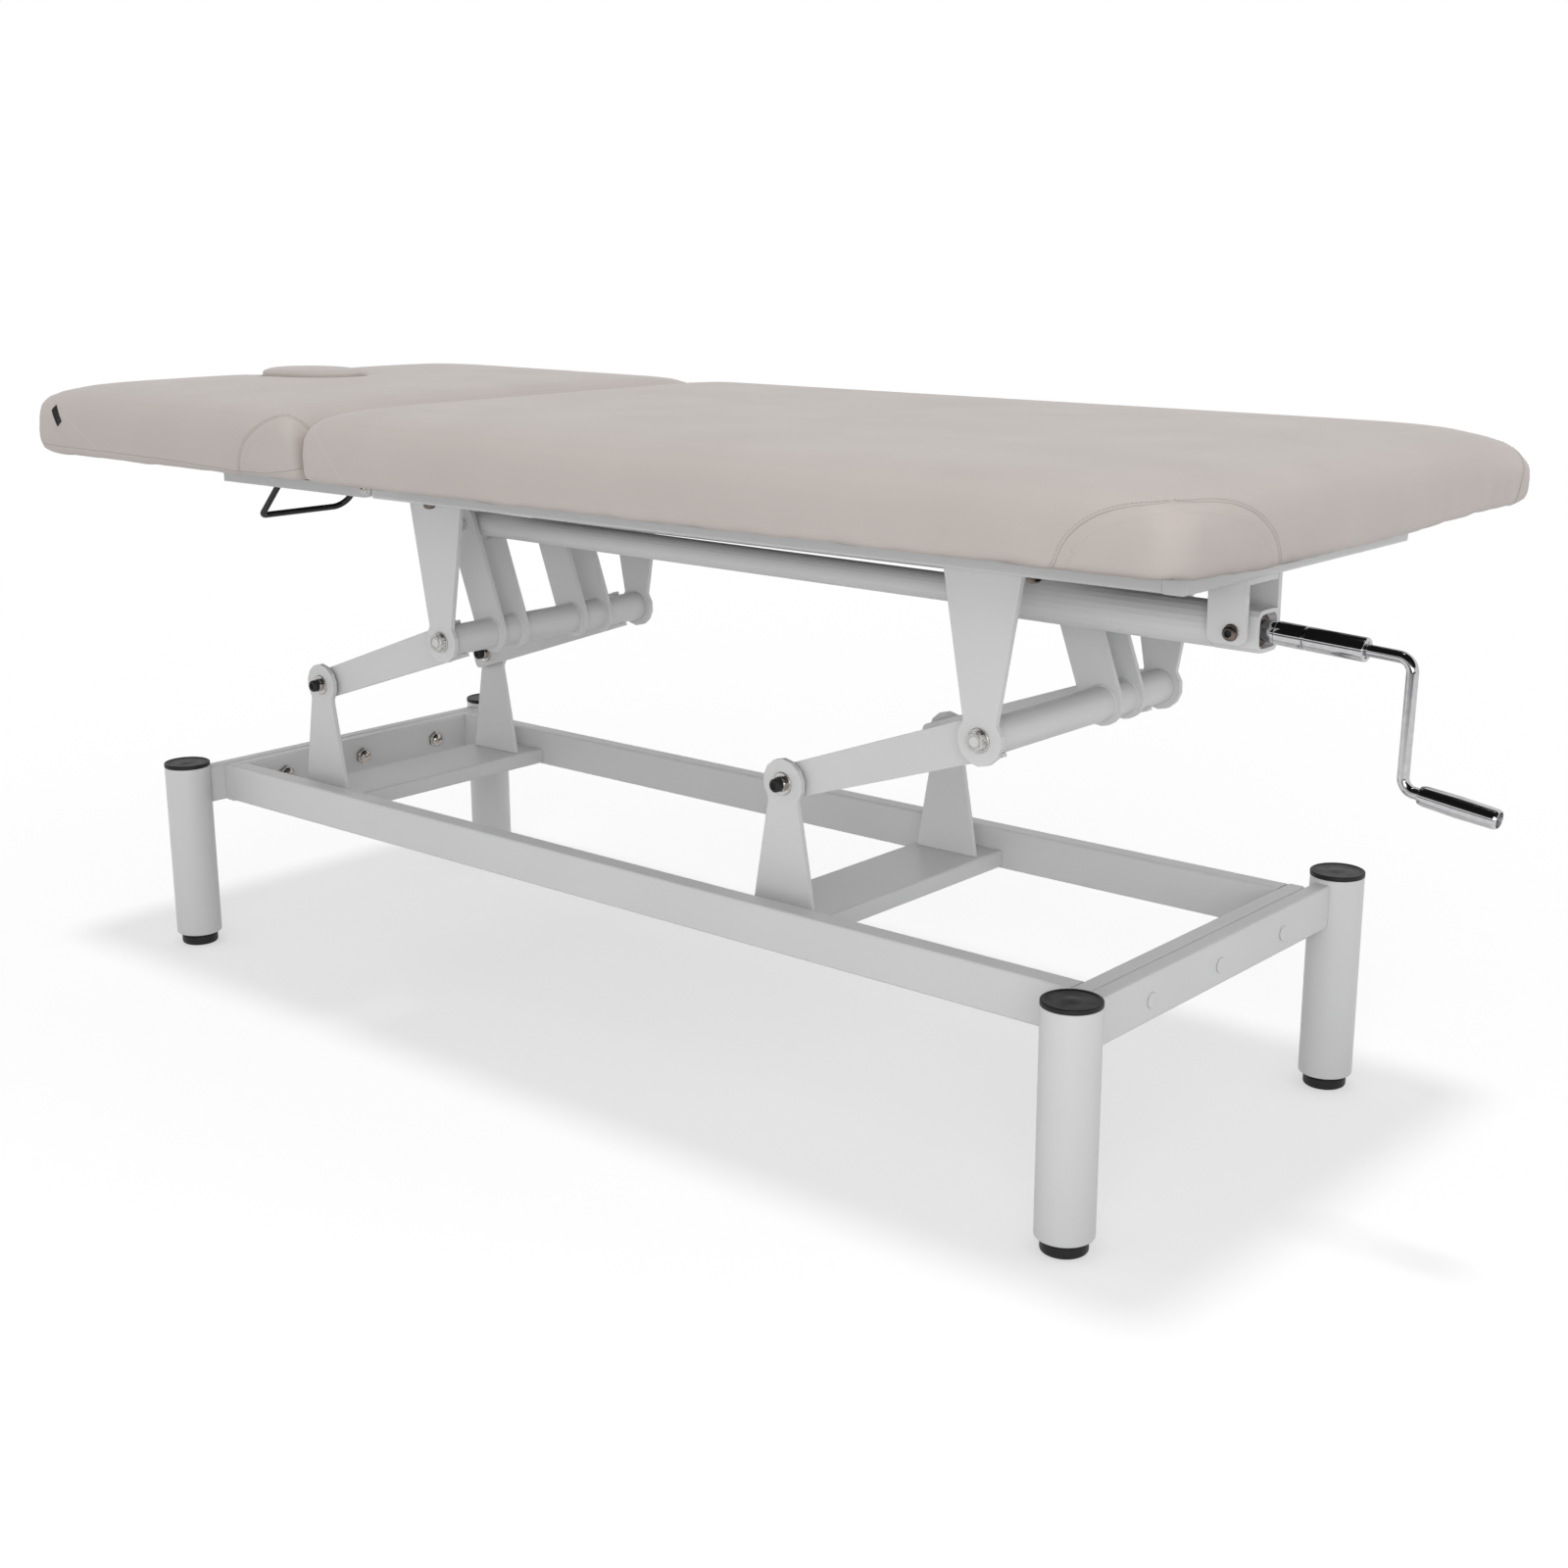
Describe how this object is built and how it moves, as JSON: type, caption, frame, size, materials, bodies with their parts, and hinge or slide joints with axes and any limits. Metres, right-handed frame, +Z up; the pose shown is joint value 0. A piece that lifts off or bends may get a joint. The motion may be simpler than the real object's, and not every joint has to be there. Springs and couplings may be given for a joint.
{
  "type": "treatment table",
  "caption": "Upholstered treatment table with a tilting head section and a plugged face hole, on a tube base whose parallelogram lift is raised by a cranked screw jack.",
  "frame": {"origin": "on the floor, under the middle of the overall outline with the crank's grip included", "axes": "+X along the table to the crank end, +Y to the far side from the picture's view, +Z up"},
  "size_m": [1.9138, 0.722, 0.7673],
  "materials": {
    "paint": "satin",
    "black_plastic": "matte",
    "zinc": "satin",
    "chrome": "polished",
    "wire": "satin",
    "board": "matte",
    "cover": "satin"
  },
  "bodies": {
    "base": {"leg_near_left": "paint", "leg_near_right": "paint", "leg_far_left": "paint", "leg_far_right": "paint", "leg_cap_near_left": "black_plastic", "leg_cap_near_right": "black_plastic", "leg_cap_far_left": "black_plastic", "leg_cap_far_right": "black_plastic", "foot_near_left": "black_plastic", "foot_near_right": "black_plastic", "foot_far_left": "black_plastic", "foot_far_right": "black_plastic", "end_rail_left": "paint", "end_rail_right": "paint", "end_member_left": "paint", "end_member_right": "paint", "long_rail_near": "paint", "long_rail_far": "paint", "base_cross_member_front": "paint", "base_cross_member_rear": "paint", "lower_lug_front_near": "paint", "lower_lug_front_far": "paint", "lower_lug_rear_near": "paint", "lower_lug_rear_far": "paint", "lower_pivot_bolt_front_near": "zinc", "lower_pivot_bolt_front_far": "zinc", "lower_pivot_bolt_rear_near": "zinc", "lower_pivot_bolt_rear_far": "zinc"},
    "front_rocker": {"front_arm_near": "paint", "front_arm_far": "paint", "front_torque_tube": "paint", "front_jack_fork": "paint", "front_tie_fork": "paint"},
    "rear_rocker": {"rear_arm_near": "paint", "rear_arm_far": "paint", "rear_torque_tube": "paint", "rear_tie_fork": "paint"},
    "tie": {"tie_bar": "paint"},
    "top_frame": {"side_rail_near": "paint", "side_rail_far": "paint", "crank_end_member": "paint", "top_cross_member_front": "paint", "top_cross_member_rear": "paint", "upper_lug_front_near": "paint", "upper_lug_front_far": "paint", "upper_lug_rear_near": "paint", "upper_lug_rear_far": "paint", "jack_yoke": "paint", "main_board": "board", "main_cushion": "cover"},
    "jack": {"jack_body": "paint"},
    "jack_slider": {"jack_rod": "paint"},
    "crank": {"crank_arm": "chrome"},
    "grip": {"crank_grip": "chrome"},
    "head_section": {"head_board": "board", "head_cushion": "cover", "face_plug": "cover", "head_arm_near": "paint", "head_arm_far": "paint"},
    "bail": {"release_bail": "wire"}
  },
  "joints": [
    {"name": "crank_turn", "type": "hinge", "parent": "jack", "child": "crank", "pos_m": [0.69881, -0.07, 0.5865], "axis": [-1, 0, 0.0068], "range_deg": [-2880, 4320]},
    {"name": "front_lift", "type": "hinge", "parent": "base", "child": "front_rocker", "pos_m": [-0.63119, 0, 0.3653], "axis": [0, -1, 0], "range_deg": [-18.1, 27.15]},
    {"name": "top_level", "type": "hinge", "parent": "front_rocker", "child": "top_frame", "pos_m": [-0.3549, 0, 0.45979], "axis": [0, 1, 0], "range_deg": [-18.2, 27.3]},
    {"name": "rear_lift", "type": "hinge", "parent": "top_frame", "child": "rear_rocker", "pos_m": [0.4636, 0, 0.45979], "axis": [0, -1, 0], "range_deg": [-18.2, 27.3]},
    {"name": "tie_level", "type": "hinge", "parent": "front_rocker", "child": "tie", "pos_m": [-0.40374, 0.0755, 0.59399], "axis": [0, 1, 0], "range_deg": [-18.2, 27.3]},
    {"name": "jack_swing", "type": "hinge", "parent": "top_frame", "child": "jack", "pos_m": [0.69881, -0.07, 0.5865], "axis": [0, -1, 0], "range_deg": [-1, 1.5]},
    {"name": "jack_slide", "type": "slide", "parent": "jack", "child": "jack_slider", "axis": [-1, 0, 0.0068], "range_m": [-0.0401, 0.0601]},
    {"name": "grip_turn", "type": "hinge", "parent": "crank", "child": "grip", "pos_m": [0.88056, -0.07, 0.45371], "axis": [0.9903, 0, -0.139], "continuous": true},
    {"name": "head_tilt", "type": "hinge", "parent": "top_frame", "child": "head_section", "pos_m": [-0.42779, 0, 0.6507], "axis": [0, 1, 0], "range_deg": [-28, 10]},
    {"name": "bail_squeeze", "type": "hinge", "parent": "head_section", "child": "bail", "pos_m": [-0.61479, 0, 0.6505], "axis": [0, 1, 0], "range_deg": [0, 20], "stiffness_Nm_per_rad": 0.4, "springref_deg": -8.59}
  ],
  "couplings": [
    {"joint": "crank_turn", "follows": "front_lift", "ratio": 158.96},
    {"joint": "top_level", "follows": "front_lift", "ratio": 1},
    {"joint": "rear_lift", "follows": "front_lift", "ratio": 1},
    {"joint": "tie_level", "follows": "front_lift", "ratio": 1},
    {"joint": "jack_swing", "follows": "front_lift", "ratio": 0.052299},
    {"joint": "jack_slide", "follows": "front_lift", "m_per_rad": 0.1265}
  ]
}
